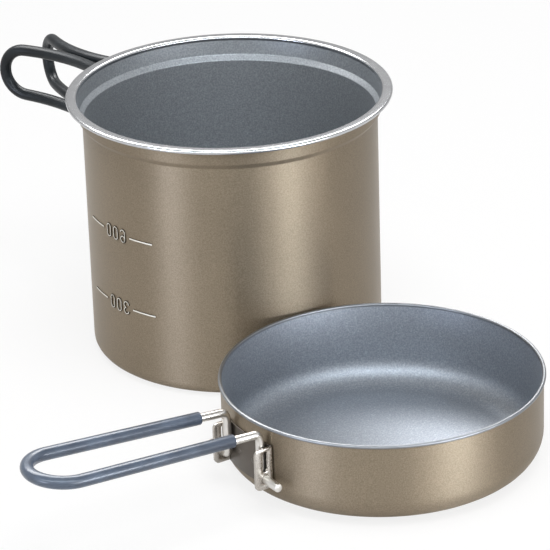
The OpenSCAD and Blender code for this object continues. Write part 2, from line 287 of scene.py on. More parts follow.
def bright_metal(name, dark, light, roughness):
    finish = Finish(name, Metallic=1.0)
    wear = finish.noise(WEAR_SIZE, 3)
    stain = finish.noise(STAIN_SIZE, 2)
    finish.set(Base_Color=finish.blend(stain, dark, light))
    finish.set(Roughness=wear * WEAR_SPREAD + (roughness - WEAR_SPREAD / 2))
    finish.set(Normal=finish.bump(wear, WEAR_DEPTH))
    return finish.material


polished_rim = bright_metal("rolled_rim", shade(180, 181, 183), shade(198, 199, 201), 0.2)
pan_bead_metal = bright_metal("pan_bead", shade(122, 124, 127), shade(142, 144, 147), 0.42)
bright_wire = bright_metal("bright_wire", shade(206, 202, 196), shade(222, 219, 214), 0.3)
bracket_steel = bright_metal("bracket_steel", shade(168, 162, 155), shade(190, 185, 178), 0.28)
# The plate's darker colour is painted shade, not the steel's own.
bracket_plate = bright_metal("bracket_plate", shade(84, 78, 72), shade(104, 98, 91), 0.36)
# The marks' crest colour is a painted highlight, and their foot colour is painted shade.
mark_crest = bright_metal("mark_crest", shade(214, 210, 200), shade(228, 225, 216), 0.4)
mark_foot = bright_metal("mark_foot", shade(52, 45, 36), shade(66, 58, 47), 0.5)
print("made", polished_rim.name, bright_wire.name, bracket_steel.name)

# %% [markdown]
# ## Handle tubes
# The grips are silicone tube pushed over the wire: charcoal on the pot, blue-grey on the
# pan. Silicone has a skin that shines softly. A little fine grain breaks the shine, and
# wide faint clouds are where fingers have rubbed it.

# %% Make the tubes' silicone
SKIN_SIZE, SKIN_DEPTH, RUB_SIZE, RUB_SPREAD = 0.5 * MM, 0.006 * MM, 9 * MM, 0.16


def silicone(name, dark, light, roughness, coat, specular):
    finish = Finish(name, Metallic=0.0, Coat_Weight=coat, Coat_Roughness=0.22,
                    Specular_IOR_Level=specular)
    skin = finish.noise(SKIN_SIZE, 2)
    rubbed = finish.noise(RUB_SIZE, 3)
    finish.set(Base_Color=finish.blend(finish.steepen(rubbed, 0.35, 0.7), dark, light))
    finish.set(Roughness=rubbed * RUB_SPREAD + (roughness - RUB_SPREAD / 2))
    finish.set(Normal=finish.bump(skin, SKIN_DEPTH))
    return finish.material


charcoal_tube = silicone("charcoal_tube", shade(22, 27, 31), shade(35, 41, 46), 0.36, 0.05, 0.22)
blue_tube = silicone("blue_grey_tube", shade(68, 79, 96), shade(84, 97, 116), 0.32, 0.2, 0.5)
print("made", charcoal_tube.name, "and", blue_tube.name)

# %% [markdown]
# ## Modelling helpers
# Each piece starts as one primitive and is shaped in edit mode. An operator works on all
# that is selected, so these helpers always clear the selection first, and pick faces or
# edges by where they are.

# %% Select, edit and clean
def fresh():
    if bpy.context.object and bpy.context.object.mode != "OBJECT":
        bpy.ops.object.mode_set(mode="OBJECT")
    bpy.ops.object.select_all(action="DESELECT")


def named(name):
    """Names the piece that was just added, and applies its place, turn and scale."""
    piece = bpy.context.object
    piece.name = piece.data.name = name
    bpy.ops.object.transform_apply(location=True, rotation=True, scale=True)
    return piece


def focus(piece):
    fresh()
    piece.select_set(True)
    bpy.context.view_layer.objects.active = piece


def edit(piece, kind="VERT", select="DESELECT"):
    """Opens a piece in edit mode, with all or nothing of it selected."""
    focus(piece)
    bpy.ops.object.mode_set(mode="EDIT")
    bpy.ops.mesh.select_mode(type=kind)
    bpy.ops.mesh.select_all(action=select)


def pick(piece, kind, test):
    """Selects the verts, edges or faces of the piece in edit mode that pass the test."""
    mesh = bmesh.from_edit_mesh(piece.data)
    for part in getattr(mesh, kind):
        part.select_set(bool(test(part)))
    bmesh.update_edit_mesh(piece.data)


def smooth(piece):
    focus(piece)
    bpy.ops.object.shade_smooth_by_angle(angle=math.radians(35))


def outwards(piece):
    """Turns all faces to look out of the piece."""
    edit(piece, select="SELECT")
    bpy.ops.mesh.normals_make_consistent(inside=False)
    bpy.ops.object.mode_set(mode="OBJECT")


def move_to(piece, matrix):
    """Takes a piece from its own frame to its place, and leaves its object at the origin."""
    piece.matrix_world = matrix
    focus(piece)
    bpy.ops.object.transform_apply(location=True, rotation=True, scale=True)
    if matrix.to_3x3().determinant() < 0:
        outwards(piece)


def closed(piece):
    """Prints whether the piece's mesh is closed, and its volume."""
    mesh = bmesh.new()
    mesh.from_mesh(piece.data)
    open_edges = sum(not edge.is_manifold for edge in mesh.edges)
    volume = mesh.calc_volume(signed=True) / MM ** 3
    mesh.free()
    faces = len(piece.data.polygons)
    print(piece.name, "faces", faces, "open edges", open_edges, "mm3", round(volume, 1))


print("helpers ready")

# %% [markdown]
# ## The vessels
# A pot like this is drawn and spun from one sheet, so its shape is a profile carried
# round an axis. We start with a circle on the base and extrude its edge from ring to
# ring: out to the corner, up the wall, round the rim, and back down the inside. Each
# corner of the profile is rounded, as sheet metal always is.

# %% Round the corners of a profile
def rounded(corners, steps=6):
    """Points along (radius, height, fillet) corners, each corner rounded by its fillet."""
    points = []
    for place, (r, z, fillet) in enumerate(corners):
        here = Vector((r, z))
        if place in (0, len(corners) - 1) or fillet == 0:
            points.append(here)
            continue
        back = (Vector(corners[place - 1][:2]) - here).normalized()
        ahead = (Vector(corners[place + 1][:2]) - here).normalized()
        half = back.angle(ahead) / 2
        centre = here + (back + ahead).normalized() * fillet / math.sin(half)
        first = here + back * fillet / math.tan(half) - centre
        last = here + ahead * fillet / math.tan(half) - centre
        turn = first.angle_signed(last)
        for step in range(steps + 1):
            spoke = first.copy()
            spoke.rotate(Matrix.Rotation(-turn * step / steps, 2))
            points.append(centre + spoke)
    return points


def arc(r, z, radius, start, stop, steps=10):
    """Points on an arc round (r, z); its angles run from the r axis towards the z axis."""
    angles = [math.radians(start + (stop - start) * n / steps) for n in range(steps + 1)]
    return [Vector((r + radius * math.cos(a), z + radius * math.sin(a))) for a in angles]


print(len(rounded([(0, 0, 0), (10, 0, 2), (10, 10, 0)])), "points round one corner")

# %% Carry a profile round its axis
VESSEL_SIDES = 192
NEAR = 0.001 * MM       # points closer than this are the same point


def turn_vessel(name, centre, profile):
    """Turns (radius, height) points round the upright axis at centre, and closes both ends."""
    fresh()
    bpy.ops.mesh.primitive_circle_add(
        vertices=VESSEL_SIDES, radius=profile[0].x, location=(centre.x, centre.y, profile[0].y))
    piece = named(name)
    edit(piece, "EDGE", "SELECT")
    last = profile[0]
    for point in profile[1:]:
        rise = {"value": (0, 0, point.y - last.y)}
        bpy.ops.mesh.extrude_region_move(TRANSFORM_OT_translate=rise)
        grow = point.x / last.x
        bpy.ops.transform.resize(
            value=(grow, grow, 1), center_override=(centre.x, centre.y, point.y))
        last = point
    bpy.ops.mesh.extrude_region_move()
    bpy.ops.mesh.merge(type="CENTER")

    def on_first_ring(edge):
        level = all(abs(vertex.co.z - profile[0].y) < NEAR for vertex in edge.verts)
        return edge.is_boundary and level

    pick(piece, "edges", on_first_ring)
    bpy.ops.mesh.extrude_region_move()
    bpy.ops.mesh.merge(type="CENTER")
    outwards(piece)
    return piece


def paint(piece, materials, choose):
    """Gives a piece its materials. choose(place, normal) numbers the one that a face takes."""
    for material in materials:
        piece.data.materials.append(material)
    for number in range(1, len(materials)):
        edit(piece, "FACE")
        pick(piece, "faces", lambda face: choose(face.calc_center_median(), face.normal) == number)
        piece.active_material_index = number
        bpy.ops.object.material_slot_assign()
    fresh()


print("lathe ready")

# %% [markdown]
# ### The pot
# The body is 114 mm across with a wall of half a millimetre. Near the top it steps out
# into a band, and the sheet ends in a roll that is pressed flat, which makes the wide
# bright rim.

# %% Turn the pot
POT_R, POT_WALL, POT_CORNER = 57 * MM, 0.5 * MM, 4.5 * MM
LIP_H, STEP_OUT, STEP_H, BAND_LEAN = 9.5 * MM, 1.6 * MM, 2 * MM, 0.7 * MM
STEP_ROUND, STEP_ROUND_IN = 0.9 * MM, 0.8 * MM      # how the step is rounded, out and in
INNER_LIFT = 0.2 * MM                               # the step's inside lies this much higher
ROLL_R, ROLL_W = 0.85 * MM, 4.2 * MM
ROLL_GAP = 0.1 * MM                                 # the band ends this far inside the roll
FLOOR_START = 20 * MM                               # radius of the circle that we start with
INNER_R = POT_R - POT_WALL
FLOOR_FILLET = POT_CORNER - POT_WALL
LIP_Z = pot_height - LIP_H
BAND_R, BAND_Z = POT_R + STEP_OUT, LIP_Z + STEP_H
ROLL_Z = pot_height - ROLL_R
ROLL_IN = BAND_R + BAND_LEAN + ROLL_R - POT_WALL
ROLL_OUT = ROLL_IN + ROLL_W - 2 * ROLL_R

pot_outside = rounded([
    (FLOOR_START, 0, 0), (POT_R, 0, POT_CORNER), (POT_R, LIP_Z, STEP_ROUND),
    (BAND_R, BAND_Z, STEP_ROUND), (BAND_R + BAND_LEAN, ROLL_Z - ROLL_R + ROLL_GAP, 0)])
pot_roll = arc(ROLL_OUT, ROLL_Z, ROLL_R, -90, 90) + arc(ROLL_IN, ROLL_Z, ROLL_R, 90, 200)
pot_inside = rounded([
    (BAND_R + BAND_LEAN - POT_WALL, ROLL_Z - ROLL_R, 0),
    (BAND_R - POT_WALL, BAND_Z + INNER_LIFT, STEP_ROUND_IN),
    (INNER_R, LIP_Z + INNER_LIFT, STEP_ROUND_IN),
    (INNER_R, POT_WALL, FLOOR_FILLET), (FLOOR_START, POT_WALL, 0)])
pot = turn_vessel("pot_vessel", Vector((0, 0, 0)), pot_outside + pot_roll + pot_inside)
closed(pot)

# %% [markdown]
# ### The volume marks
# Two marks are pressed into the sheet from the inside, so outside they stand out and
# read backwards: a dash, the numerals and a dash. A pressed line has a soft, round back.
# A torus has that section, so a nought is a torus whose halves are drawn apart, and the
# 3 and the 6 are pieces of such rings. They are made on a flat strip, bent to the wall's
# radius with a Simple Deform modifier, and joined to the pot.

# %% Make one ring of a numeral
MARK_LINE, MARK_RELIEF, LINE_SIDES = 1.0 * MM, 0.34 * MM, 10
DIGIT_W, DIGIT_H, DIGIT_PITCH = 3.3 * MM, 6 * MM, 4.3 * MM
SIX_LOOP_H, SIX_HOOK_Z = 3.48 * MM, 1.35 * MM   # height of the 6's loop, and its hook's end
DASH_FROM, DASH_LENGTH, DASH_STEPS = 8.05 * MM, 11 * MM, 8


def mark_ring(x, z, width, height, keep):
    """An upright oval ring on the strip; keep(x, z) says which faces stay."""
    fresh()
    bpy.ops.mesh.primitive_torus_add(
        major_radius=(width - MARK_LINE) / 2, minor_radius=MARK_LINE / 2,
        major_segments=32, minor_segments=LINE_SIDES, rotation=(math.radians(90), 0, 0))
    ring = named("mark_ring")
    edit(ring)
    for side in (1, -1):
        pick(ring, "verts", lambda vertex: vertex.co.z * side > NEAR)
        bpy.ops.transform.translate(value=(0, 0, side * (height - width) / 2))
    bpy.ops.mesh.select_mode(type="FACE")
    pick(ring, "faces", lambda face: not keep(*face.calc_center_median().xz))
    bpy.ops.mesh.delete(type="FACE")
    bpy.ops.mesh.select_mode(type="EDGE")
    pick(ring, "edges", lambda edge: edge.is_boundary)
    bpy.ops.mesh.edge_face_add()
    bpy.ops.mesh.select_all(action="SELECT")
    bpy.ops.transform.translate(value=(x, 0, z))
    bpy.ops.object.mode_set(mode="OBJECT")
    return ring


print("a numeral is", DIGIT_W / MM, "by", DIGIT_H / MM, "mm")

# %% Make the strip of one mark
def mark_dash(side):
    fresh()
    start = side * DASH_FROM
    bpy.ops.mesh.primitive_circle_add(
        vertices=LINE_SIDES, radius=MARK_LINE / 2, fill_type="NGON", location=(start, 0, 0),
        rotation=(0, math.radians(90), 0))
    dash = named("mark_dash")
    edit(dash, "FACE", "SELECT")
    for _ in range(DASH_STEPS):
        step = {"value": (side * DASH_LENGTH / DASH_STEPS, 0, 0)}
        bpy.ops.mesh.extrude_region_move(TRANSFORM_OT_translate=step)
    bpy.ops.object.mode_set(mode="OBJECT")
    outwards(dash)
    return dash


def whole(x, z):
    """Keeps a whole ring."""
    return True


def mark_strip(name, leading, height):
    """A mark as it looks from outside: mirrored, so the leading numeral is on the right."""
    pieces = [mark_dash(-1), mark_dash(1)]
    for x in (-DIGIT_PITCH, 0):
        pieces.append(mark_ring(x, 0, DIGIT_W, DIGIT_H, whole))
    if leading == 3:
        radius = (DIGIT_H + MARK_LINE) / 4
        offset = DIGIT_H / 2 - radius
        for side in (1, -1):
            pieces.append(mark_ring(DIGIT_PITCH, side * offset, 2 * radius, 2 * radius,
                                    lambda x, z: x < 0 or z * side > 0))
    else:
        pieces.append(mark_ring(DIGIT_PITCH, (SIX_LOOP_H - DIGIT_H) / 2, DIGIT_W, SIX_LOOP_H,
                                whole))
        pieces.append(mark_ring(DIGIT_PITCH, 0, DIGIT_W, DIGIT_H,
                                lambda x, z: x > 0 or z > SIX_HOOK_Z))
    focus(pieces[0])
    for piece in pieces:
        piece.select_set(True)
    bpy.ops.object.join()
    strip = named(name)
    edit(strip, select="SELECT")
    bpy.ops.transform.resize(
        value=(1, MARK_RELIEF / (MARK_LINE / 2), 1), center_override=(0, 0, 0))
    bpy.ops.transform.translate(value=(0, 0, height))
    bpy.ops.object.mode_set(mode="OBJECT")
    return strip


def wrap(strip, radius, azimuth):
    """Bends a strip that faces -Y round an upright axis, and turns it to its azimuth."""
    low = min(vertex.co.x for vertex in strip.data.vertices)
    high = max(vertex.co.x for vertex in strip.data.vertices)
    bend = strip.modifiers.new("wrap", "SIMPLE_DEFORM")
    bend.deform_method = "BEND"
    bend.deform_axis = "Z"
    bend.angle = (high - low) / radius
    focus(strip)
    bpy.ops.object.modifier_apply(modifier=bend.name)
    turn = Matrix.Rotation(math.radians(azimuth + 90), 4, "Z")
    move_to(strip, turn @ Matrix.Translation((0, -radius, 0)))


# A mark's height follows from its volume. The rounded corner takes some volume away: a
# ring whose section is a square less a quarter disc, and the section's centroid lies this
# share of the fillet in from the wall.
CORNER_CENTROID = 0.2234
corner_area = FLOOR_FILLET ** 2 * (1 - math.pi / 4)
corner_loss = 2 * math.pi * corner_area * (INNER_R - CORNER_CENTROID * FLOOR_FILLET)
MARK_AZIMUTH = -141.5   # degrees
ML = 1e-6               # cubic metres
for leading in (3, 6):
    level = POT_WALL + (leading * 100 * ML + corner_loss) / (math.pi * INNER_R ** 2)
    strip = mark_strip(f"mark_{leading}00", leading, level)
    wrap(strip, POT_R, MARK_AZIMUTH)
    focus(strip)
    pot.select_set(True)
    bpy.context.view_layer.objects.active = pot
    bpy.ops.object.join()
    print(f"mark {leading}00 at", round(level / MM, 2), "mm")

# %% Finish the pot
HAIR = 0.02 * MM            # how far a face's middle may stray from where it belongs
MARK_START = 0.06 * MM      # a face that stands out further than this is part of a mark
# A mark's crest takes a painted highlight, and the rest of the mark takes painted shade.
CREST = 0.85 * MARK_RELIEF  # and one further than this is on its crest
UPWARD = 0.02               # least upward part of a floor's normal


def looks_in(offset, normal):
    """Whether a face looks up, or towards the axis that its place is an offset from."""
    return normal.z > UPWARD or normal.xy.dot(offset.xy) < 0


def pot_finish(place, normal):
    """0 is the bare outside, 1 the lining, 2 the rim, 3 a mark's crest in painted highlight
    and 4 its foot in painted shade.
    """
    out = place.xy.length
    if place.z > ROLL_Z - ROLL_R - HAIR and out > BAND_R + ROLL_GAP:
        return 2
    if out > POT_R + MARK_START and place.z < LIP_Z - MM:
        return 3 if out > POT_R + CREST else 4
    inside = (out < POT_R - POT_WALL / 2 and place.z > POT_WALL / 2) or place.z > LIP_Z
    return 1 if inside and looks_in(place, normal) else 0


paint(pot, [titanium, pot_coat, polished_rim, mark_crest, mark_foot], pot_finish)
smooth(pot)
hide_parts("pot_shell")
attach(pot, "pot")
closed(pot)

# %% [markdown]
# ### The pan
# The pan is drawn with a wide corner, and its edge is only a thin bead.

# %% Turn and finish the pan
PAN_R, PAN_WALL, PAN_CORNER = 59 * MM, 0.5 * MM, 10.5 * MM
BEAD_R, BEAD_OUT = 0.7 * MM, 0.1 * MM               # the bead, and how far out it sits
INNER_END, BEAD_START = 0.55 * MM, 0.6 * MM         # below the bead's middle
CORNER_STEPS = 12
BEAD_Z = pan_height - BEAD_R
pan_outside = rounded([
    (FLOOR_START, 0, 0), (PAN_R, 0, PAN_CORNER), (PAN_R, BEAD_Z - BEAD_R, 0)], CORNER_STEPS)
pan_bead = arc(PAN_R + BEAD_OUT, BEAD_Z, BEAD_R, -70, 215, 16)
pan_inside = rounded([
    (PAN_R - PAN_WALL, BEAD_Z - INNER_END, 0),
    (PAN_R - PAN_WALL, PAN_WALL, PAN_CORNER - PAN_WALL), (FLOOR_START, PAN_WALL, 0)],
    CORNER_STEPS)
pan = turn_vessel("pan_vessel", pan_middle, pan_outside + pan_bead + pan_inside)


def pan_finish(place, normal):
    """0 is the bare outside, 1 the lining and 2 the bead."""
    offset = place - pan_middle
    if place.z > BEAD_Z - BEAD_START:
        return 2
    inside = offset.xy.length < PAN_R - PAN_WALL / 2 and place.z > PAN_WALL / 2
    return 1 if inside and looks_in(offset, normal) else 0


paint(pan, [titanium, pan_coat, pan_bead_metal], pan_finish)
smooth(pan)
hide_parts("pan_shell")
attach(pan, "pan")
closed(pan)

# %% [markdown]
# ## Bent wires
# A wire bender feeds the wire and turns it round a peg, again and again. Edit mode has
# the same two moves: Extrude feeds a round section on, and Spin turns it about a centre.
# `bend_rod` keeps the point and the heading as it goes. A tube is bent in the same way,
# from a section with a hole in it.

# %% A wire bender
ROD_SIDES = 24
END_REACH = 1.3         # radii from an end's middle, which takes in its edges
SHARP = 1               # radians between the faces of a sharp edge


def bend_rod(name, radius, start, heading, moves, bore=0.0):
    """Bends a rod, or a tube if it has a bore, and returns it and the point it ends at.
    A move is ("feed", length) or ("bend", centre, degrees, steps)."""
    fresh()
    heading = Vector(heading).normalized()
    point = Vector(start)
    bpy.ops.mesh.primitive_circle_add(
        vertices=ROD_SIDES, radius=radius, fill_type="NGON", location=point,
        rotation=heading.to_track_quat("Z", "Y").to_euler())
    rod = named(name)
    edit(rod, "FACE", "SELECT")
    if bore:
        thickness = (radius - bore) * math.cos(math.pi / ROD_SIDES)
        bpy.ops.mesh.inset(thickness=thickness, depth=0)
        bpy.ops.mesh.delete(type="ONLY_FACE")
        bpy.ops.mesh.select_all(action="SELECT")
    for move in moves:
        if move[0] == "feed":
            step = heading * move[1]
            bpy.ops.mesh.extrude_region_move(TRANSFORM_OT_translate={"value": step})
            point = point + step
        else:
            centre, angle, steps = Vector(move[1]), math.radians(move[2]), move[3]
            axis = heading.cross(centre - point).normalized()
            bpy.ops.mesh.spin(steps=steps, angle=-angle, center=centre, axis=axis)
            turn = Matrix.Rotation(angle, 3, axis)
            point = centre + turn @ (point - centre)
            heading = turn @ heading
    bpy.ops.object.mode_set(mode="OBJECT")
    outwards(rod)
    return rod, point


def chamfer_ends(rod, ends, radius, width, segments=2):
    """Rounds the sharp edges of a rod's or tube's ends, which lie near the given points."""
    edit(rod, "EDGE")

    def sharp(edge):
        near = min((edge.verts[0].co - end).length for end in ends) < radius * END_REACH
        return near and edge.calc_face_angle(0) > SHARP

    pick(rod, "edges", sharp)
    bpy.ops.mesh.bevel(offset=width, segments=segments, affect="EDGES")
    bpy.ops.object.mode_set(mode="OBJECT")


print("bender ready")

# %% [markdown]
# ### Pot handles
# Each handle is a loop. Its two ends stand in the bracket, one up and one down, as the
# hinge pins. From there the wire turns outwards, runs straight for a moment, bows round
# so that it can fold flat against the pot, and comes back through a half turn. The
# frame of these numbers has its Z axis on the hinge and X away from the pot.

# %% Bend the front handle in the frame of its hinge
HANDLE_WIRE_R, HANDLE_TUBE_R = 1.5 * MM, 2.35 * MM
TUBE_BORE = 1.55 * MM
ROOT_SPAN, TIP_SPAN, ROOT_LEN = 23.4 * MM, 19.4 * MM, 3.2 * MM
BOW_R, BOW_LEN, ELBOW_R = 75 * MM, 50 * MM, 3 * MM
TUBE_START, STUB_TIP = 1 * MM, 6.1 * MM
PIN_ROUND, TUBE_ROUND = 0.25 * MM, 0.2 * MM     # how far the ends are rounded
ELBOW_STEPS, BOW_STEPS, TIP_STEPS = 10, 14, 20
bow = BOW_LEN / BOW_R
draw_in = math.asin((ROOT_SPAN - TIP_SPAN) / 2 / (ROOT_LEN + BOW_R * math.sin(bow)))
elbow_z = ROOT_SPAN / 2 - ELBOW_R * math.cos(draw_in)
root = Vector((ELBOW_R * (1 + math.sin(draw_in)), 0, ROOT_SPAN / 2))
root_heading = Vector((math.cos(draw_in), 0, -math.sin(draw_in)))
bow_start = root + root_heading * ROOT_LEN
bow_end = (bow_start + root_heading * BOW_R * math.sin(bow)
           + Vector((0, BOW_R * (1 - math.cos(bow)), 0)))
tip_heading = root_heading * math.cos(bow) + Vector((0, math.sin(bow), 0))
tip_slope = math.asin(-tip_heading.z)
tip_flat = Vector((tip_heading.x, tip_heading.y, 0)).normalized()
tip_centre = Vector((bow_end.x, bow_end.y, 0)) - tip_flat * (TIP_SPAN / 2 * math.tan(tip_slope))


def flipped(point):
    """The same point on the loop's other half."""
    return Vector((point.x, point.y, -point.z))


elbow_centre = Vector((ELBOW_R, 0, elbow_z))
bow_centre = bow_start + Vector((0, BOW_R, 0))
bow_degrees = math.degrees(bow)
elbow_degrees = 90 + math.degrees(draw_in)
loop_end = [("bend", bow_centre, bow_degrees, BOW_STEPS),
            ("bend", tip_centre, 180 - 2 * math.degrees(tip_slope), TIP_STEPS),
            ("bend", flipped(bow_centre), bow_degrees, BOW_STEPS)]
stub_feed, root_feed = ("feed", elbow_z - STUB_TIP), ("feed", ROOT_LEN)
wire_moves = ([stub_feed, ("bend", elbow_centre, elbow_degrees, ELBOW_STEPS), root_feed]
              + loop_end
              + [root_feed, ("bend", flipped(elbow_centre), elbow_degrees, ELBOW_STEPS),
                 stub_feed])
tube_feed = ("feed", ROOT_LEN - TUBE_START)
front_wire, wire_stop = bend_rod(
    "front_wire", HANDLE_WIRE_R, (0, 0, STUB_TIP), (0, 0, 1), wire_moves)
tube_root = root + root_heading * TUBE_START
front_tube, tube_stop = bend_rod(
    "front_tube", HANDLE_TUBE_R, tube_root, root_heading, [tube_feed] + loop_end + [tube_feed],
    bore=TUBE_BORE)
chamfer_ends(front_wire, [Vector((0, 0, STUB_TIP)), wire_stop], HANDLE_WIRE_R, PIN_ROUND)
chamfer_ends(front_tube, [tube_root, tube_stop], HANDLE_TUBE_R, TUBE_ROUND)
stray = (tube_stop - flipped(tube_root)).length
print("the loop comes back", round(stray / MM, 4), "mm from its start's mirror image")

# %% Copy it for the rear handle, and set both on their hinges
HANDLE_AZIMUTH, TOE_IN = 132, 17.9      # degrees
toe = Matrix.Rotation(math.radians(-TOE_IN), 4, "Z")
bracket_turn = Matrix.Rotation(math.radians(HANDLE_AZIMUTH), 4, "Z")
mirror = Matrix.Diagonal((1, -1, 1, 1))


def copied(piece, name):
    twin = piece.copy()
    twin.data = piece.data.copy()
    twin.name = twin.data.name = name
    bpy.context.scene.collection.objects.link(twin)
    return twin


rear_wire, rear_tube = copied(front_wire, "rear_wire"), copied(front_tube, "rear_tube")
for side, flip, wire, tube in (("front", Matrix.Identity(4), front_wire, front_tube),
                               ("rear", mirror, rear_wire, rear_tube)):
    hinge = Matrix.Translation(hinge_point(f"{side}_handle_fold"))
    for piece, material, slot in ((wire, bright_wire, "steel"),
                                  (tube, charcoal_tube, "charcoal_tube")):
        move_to(piece, hinge @ bracket_turn @ flip @ toe)
        piece.data.materials.append(material)
        smooth(piece)
        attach(piece, f"{side}_handle")
        closed(piece)
    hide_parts(f"{side}_handle_wire")
    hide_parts(f"{side}_handle_sleeve")

# %% [markdown]
# ### Pan handle
# The pan's handle is one wire too. Its ends are pins that point out to the sides. From
# each pin the wire turns up a leg, then out along the grip, and the two grip wires spread
# a little towards a half turn. X leads out along the grip, and the pan is at the origin.

# %% Bend the pan handle
GRIP_AZIMUTH = 213      # degrees
PAN_WIRE_R, PAN_TUBE_R, PAN_TUBE_BORE = 1.6 * MM, 2.4 * MM, 1.65 * MM
GRIP_PITCH, TIP_PITCH, GRIP_LEN, GRIP_SLOPE = 21.6 * MM, 24.8 * MM, 71 * MM, math.radians(4.4)
LEG_H, PIN_LEN, PIN_BEND_R = 17.1 * MM, 11.5 * MM, 2.1 * MM
PAN_BEND_R, PAN_TUBE_START, PAN_PIN_ROUND = 3 * MM, 8.5 * MM, 0.4 * MM
PIN_STEPS, PAN_ELBOW_STEPS, HALF_TURN_STEPS = 10, 12, 28
pan_frame = Matrix.Translation(pan_middle) @ Matrix.Rotation(math.radians(GRIP_AZIMUTH), 4, "Z")
pin_middle = pan_frame.inverted() @ hinge_point("pan_handle_fold")
leg_r, pin_z = pin_middle.x, pin_middle.z
leg_s = GRIP_PITCH / 2
grip_z = pin_z + LEG_H
pan_elbow_z = grip_z - PAN_BEND_R * math.cos(GRIP_SLOPE)
grip_x = PAN_BEND_R * (1 - math.sin(GRIP_SLOPE))
reach = grip_x + GRIP_LEN * math.cos(GRIP_SLOPE)
spread = math.asin((GRIP_PITCH - TIP_PITCH) / 2 / reach)     # negative, as it widens
spread_in = math.asin(math.sin(spread) * math.cos(GRIP_SLOPE))
plane_slope = math.atan2(math.sin(GRIP_SLOPE), math.cos(spread) * math.cos(GRIP_SLOPE))
grip_rise = GRIP_LEN * math.sin(GRIP_SLOPE)
grip_end = Vector((leg_r + reach * math.cos(spread), 0, grip_z + grip_rise))
draw_back = TIP_PITCH / 2 * math.tan(spread_in)
grip_centre = grip_end - Vector((math.cos(plane_slope), 0, math.sin(plane_slope))) * draw_back


def across(point):
    """The same point on the other grip wire."""
    return Vector((point.x, -point.y, point.z))


pin_centre = Vector((leg_r, -leg_s - PIN_BEND_R, pin_z + PIN_BEND_R))
outward = Vector((math.cos(spread), math.sin(spread), 0))
pan_elbow_centre = Vector((leg_r, -leg_s, pan_elbow_z)) + outward * PAN_BEND_R
grip_heading = outward * math.cos(GRIP_SLOPE) + Vector((0, 0, math.sin(GRIP_SLOPE)))
grip_start = Vector((leg_r, -leg_s, grip_z)) + outward * grip_x
elbow_turn = 90 - math.degrees(GRIP_SLOPE)
half_turn = ("bend", grip_centre, 180 - 2 * math.degrees(spread_in), HALF_TURN_STEPS)
pin_feed, leg_feed = ("feed", PIN_LEN - PIN_BEND_R), ("feed", pan_elbow_z - pin_z - PIN_BEND_R)
pan_moves = [pin_feed, ("bend", pin_centre, 90, PIN_STEPS), leg_feed,
             ("bend", pan_elbow_centre, elbow_turn, PAN_ELBOW_STEPS), ("feed", GRIP_LEN),
             half_turn, ("feed", GRIP_LEN),
             ("bend", across(pan_elbow_centre), elbow_turn, PAN_ELBOW_STEPS), leg_feed,
             ("bend", across(pin_centre), 90, PIN_STEPS), pin_feed]
pin_start = Vector((leg_r, -leg_s - PIN_LEN, pin_z))
pan_wire, pin_stop = bend_rod("pan_wire", PAN_WIRE_R, pin_start, (0, 1, 0), pan_moves)
grip_feed = ("feed", GRIP_LEN - PAN_TUBE_START)
pan_tube_root = grip_start + grip_heading * PAN_TUBE_START
pan_tube, pan_tube_stop = bend_rod(
    "pan_tube", PAN_TUBE_R, pan_tube_root, grip_heading, [grip_feed, half_turn, grip_feed],
    bore=PAN_TUBE_BORE)
chamfer_ends(pan_wire, [pin_start, pin_stop], PAN_WIRE_R, PAN_PIN_ROUND, 3)
chamfer_ends(pan_tube, [pan_tube_root, pan_tube_stop], PAN_TUBE_R, TUBE_ROUND)
for piece, node, material, slot in ((pan_wire, "pan_handle_wire", bright_wire, "steel"),
                                    (pan_tube, "pan_handle_sleeve", blue_tube, "blue_grey_tube")):
    move_to(piece, pan_frame)
    piece.data.materials.append(material)
    smooth(piece)
    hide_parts(node)
    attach(piece, "pan_handle")
    closed(piece)

# %% [markdown]
# ## Brackets
# Each bracket is a strip of steel that hugs the wall, with ears that hold the wire. An
# ear is a cube whose outer corners are rounded with the bevel operator, punched with
# holes by Boolean modifiers. A last Bevel modifier breaks all its sharp edges, which is
# what catches the light on real sheet metal. Spot welds hold the strip to the wall, and
# each leaves a flat dome, which is a squashed sphere.

# %% Boxes, rods, punches and soft edges
PLATE_T, TAB_T = 0.8 * MM, 1.1 * MM     # the strip's and the ears' thickness
EDGE_BREAK = 0.15 * MM
WELD_R, WELD_H = 1.1 * MM, 0.22 * MM


def add_box(name, low, high):
    fresh()
    low, high = Vector(low), Vector(high)
    bpy.ops.mesh.primitive_cube_add(size=1, location=(low + high) / 2, scale=high - low)
    return named(name)


def add_rod(radius, start, stop, sides):
    fresh()
    start, stop = Vector(start), Vector(stop)
    bpy.ops.mesh.primitive_cylinder_add(
        vertices=sides, radius=radius, depth=(stop - start).length, location=(start + stop) / 2,
        rotation=(stop - start).to_track_quat("Z", "Y").to_euler())
    return named("rod")


def boolean(piece, tool, operation="DIFFERENCE"):
    """Cuts the tool out of the piece, or joins it on, and uses the tool up."""
    step = piece.modifiers.new("punch", "BOOLEAN")
    step.operation = operation
    step.solver = "EXACT"
    step.object = tool
    focus(piece)
    bpy.ops.object.modifier_apply(modifier=step.name)
    bpy.data.objects.remove(tool)


def round_corners(ear, outer, axis, radius):
    """Rounds an ear's outer corners, whose edges run through its sheet, along the axis."""
    def on_corner(edge):
        first, second = (vertex.co for vertex in edge.verts)
        through = abs(first[axis] - second[axis]) > TAB_T / 2
        return through and min(first.x, second.x) > outer - NEAR

    edit(ear, "EDGE")
    pick(ear, "edges", on_corner)
    bpy.ops.mesh.bevel(offset=radius, segments=8, affect="EDGES")
    bpy.ops.object.mode_set(mode="OBJECT")


def break_edges(piece):
    bevel = piece.modifiers.new("soft edges", "BEVEL")
    bevel.width = EDGE_BREAK
    bevel.segments = 2
    bevel.limit_method = "ANGLE"
    bevel.angle_limit = math.radians(40)
    focus(piece)
    bpy.ops.object.modifier_apply(modifier=bevel.name)


